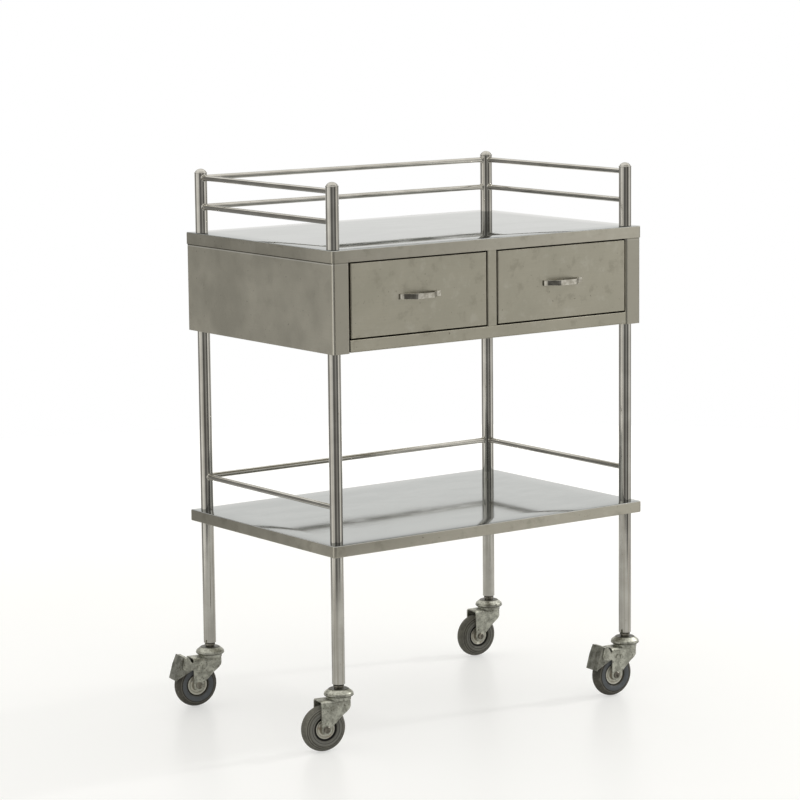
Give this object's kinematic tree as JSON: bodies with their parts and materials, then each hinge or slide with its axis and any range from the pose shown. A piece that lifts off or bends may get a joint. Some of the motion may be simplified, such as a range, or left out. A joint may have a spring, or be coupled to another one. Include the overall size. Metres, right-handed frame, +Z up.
{
  "type": "instrument cart",
  "caption": "Wheeled clinic cart of stainless tube and sheet: railed top tray over a shallow drawer cabinet, railed lower shelf, swivel casters with foot brakes.",
  "frame": {"origin": "on the floor, under the middle of the whole cart's box; the casters trail to the left, so it lies a little left of the frame's middle", "axes": "+Z up, +X to the right as seen from the drawers, drawers open towards -Y"},
  "size_m": [0.7368, 0.4726, 0.9655],
  "materials": {
    "polished_tube": "polished stainless tube with fine lengthwise marks",
    "tray_sheet": "smooth bright stainless sheet",
    "cabinet_sheet": "satin stainless sheet with a fine grain",
    "bright_strip": "bright plated strip",
    "zinc_steel": "dull zinc-plated pressed steel",
    "bare_steel": "plain turned steel",
    "bush_plastic": "black moulded bush",
    "wheel_centre": "dull light metal centre",
    "grey_rubber": "grey solid rubber, scuffed"
  },
  "bodies": {
    "root": {"upright_front_left": "polished_tube", "upright_front_right": "polished_tube", "upright_rear_left": "polished_tube", "upright_rear_right": "polished_tube", "post_caps": "polished_tube", "tube_plugs": "bush_plastic", "upper_rails_left": "polished_tube", "upper_rails_right": "polished_tube", "upper_rails_rear": "polished_tube", "lower_rails": "polished_tube", "top_tray": "tray_sheet", "lower_shelf": "tray_sheet", "shelf_stiffeners": "cabinet_sheet", "cabinet_left_panel": "cabinet_sheet", "cabinet_right_panel": "cabinet_sheet", "cabinet_back_panel": "cabinet_sheet", "cabinet_floor": "cabinet_sheet", "front_bottom_rail": "cabinet_sheet", "front_center_stile": "cabinet_sheet", "drawer_divider": "cabinet_sheet", "drawer_channels": "zinc_steel", "caster_stems": "bare_steel", "caster_cups": "zinc_steel", "swivel_balls": "bare_steel"},
    "drawer_left": {"drawer_front_left": "cabinet_sheet", "drawer_box_left": "cabinet_sheet", "drawer_runners_left": "zinc_steel", "drawer_handle_left": "bright_strip", "drawer_screws_left": "zinc_steel"},
    "drawer_right": {"drawer_front_right": "cabinet_sheet", "drawer_box_right": "cabinet_sheet", "drawer_runners_right": "zinc_steel", "drawer_handle_right": "bright_strip", "drawer_screws_right": "zinc_steel"},
    "swivel_front_left": {"caster_fork_front_left": "zinc_steel", "axle_bolt_front_left": "bare_steel", "axle_sleeve_front_left": "bare_steel"},
    "wheel_front_left": {"wheel_core_front_left": "wheel_centre", "tyre_front_left": "grey_rubber"},
    "swivel_front_right": {"caster_fork_front_right": "zinc_steel", "axle_bolt_front_right": "bare_steel", "axle_sleeve_front_right": "bare_steel", "brake_bracket_front_right": "zinc_steel", "brake_rivets_front_right": "zinc_steel"},
    "wheel_front_right": {"wheel_core_front_right": "wheel_centre", "tyre_front_right": "grey_rubber"},
    "swivel_rear_left": {"caster_fork_rear_left": "zinc_steel", "axle_bolt_rear_left": "bare_steel", "axle_sleeve_rear_left": "bare_steel", "brake_bracket_rear_left": "zinc_steel", "brake_rivets_rear_left": "zinc_steel"},
    "wheel_rear_left": {"wheel_core_rear_left": "wheel_centre", "tyre_rear_left": "grey_rubber"},
    "swivel_rear_right": {"caster_fork_rear_right": "zinc_steel", "axle_bolt_rear_right": "bare_steel", "axle_sleeve_rear_right": "bare_steel"},
    "wheel_rear_right": {"wheel_core_rear_right": "wheel_centre", "tyre_rear_right": "grey_rubber"},
    "pedal_front_right": {"brake_pedal_front_right": "zinc_steel"},
    "pedal_rear_left": {"brake_pedal_rear_left": "zinc_steel"}
  },
  "joints": [
    {"name": "drawer_left_slide", "type": "slide", "parent": "root", "child": "drawer_left", "axis": [0, -1, 0], "range_m": [0, 0.33]},
    {"name": "drawer_right_slide", "type": "slide", "parent": "root", "child": "drawer_right", "axis": [0, -1, 0], "range_m": [0, 0.33]},
    {"name": "swivel_front_left_turn", "type": "hinge", "parent": "root", "child": "swivel_front_left", "pos_m": [-0.29237, -0.19548, 0.09], "axis": [0, 0, 1], "continuous": true},
    {"name": "wheel_front_left_spin", "type": "hinge", "parent": "swivel_front_left", "child": "wheel_front_left", "pos_m": [-0.32191, -0.19027, 0.04], "axis": [-0.1736, -0.9848, 0], "continuous": true},
    {"name": "swivel_front_right_turn", "type": "hinge", "parent": "root", "child": "swivel_front_right", "pos_m": [0.34263, -0.19548, 0.09], "axis": [0, 0, 1], "continuous": true},
    {"name": "wheel_front_right_spin", "type": "hinge", "parent": "swivel_front_right", "child": "wheel_front_right", "pos_m": [0.31271, -0.19339, 0.04], "axis": [-0.0698, -0.9976, 0], "continuous": true},
    {"name": "swivel_rear_left_turn", "type": "hinge", "parent": "root", "child": "swivel_rear_left", "pos_m": [-0.29237, 0.20752, 0.09], "axis": [0, 0, 1], "continuous": true},
    {"name": "wheel_rear_left_spin", "type": "hinge", "parent": "swivel_rear_left", "child": "wheel_rear_left", "pos_m": [-0.32204, 0.21195, 0.04], "axis": [-0.1478, -0.989, 0], "continuous": true},
    {"name": "swivel_rear_right_turn", "type": "hinge", "parent": "root", "child": "swivel_rear_right", "pos_m": [0.34263, 0.20752, 0.09], "axis": [0, 0, 1], "continuous": true},
    {"name": "wheel_rear_right_spin", "type": "hinge", "parent": "swivel_rear_right", "child": "wheel_rear_right", "pos_m": [0.31271, 0.20961, 0.04], "axis": [-0.0698, -0.9976, 0], "continuous": true},
    {"name": "pedal_front_right_press", "type": "hinge", "parent": "swivel_front_right", "child": "pedal_front_right", "pos_m": [0.28747, -0.19162, 0.078], "axis": [-0.0698, -0.9976, 0], "range_deg": [0, 7]},
    {"name": "pedal_rear_left_press", "type": "hinge", "parent": "swivel_rear_left", "child": "pedal_rear_left", "pos_m": [-0.34706, 0.21569, 0.078], "axis": [-0.1478, -0.989, 0], "range_deg": [0, 7]}
  ]
}
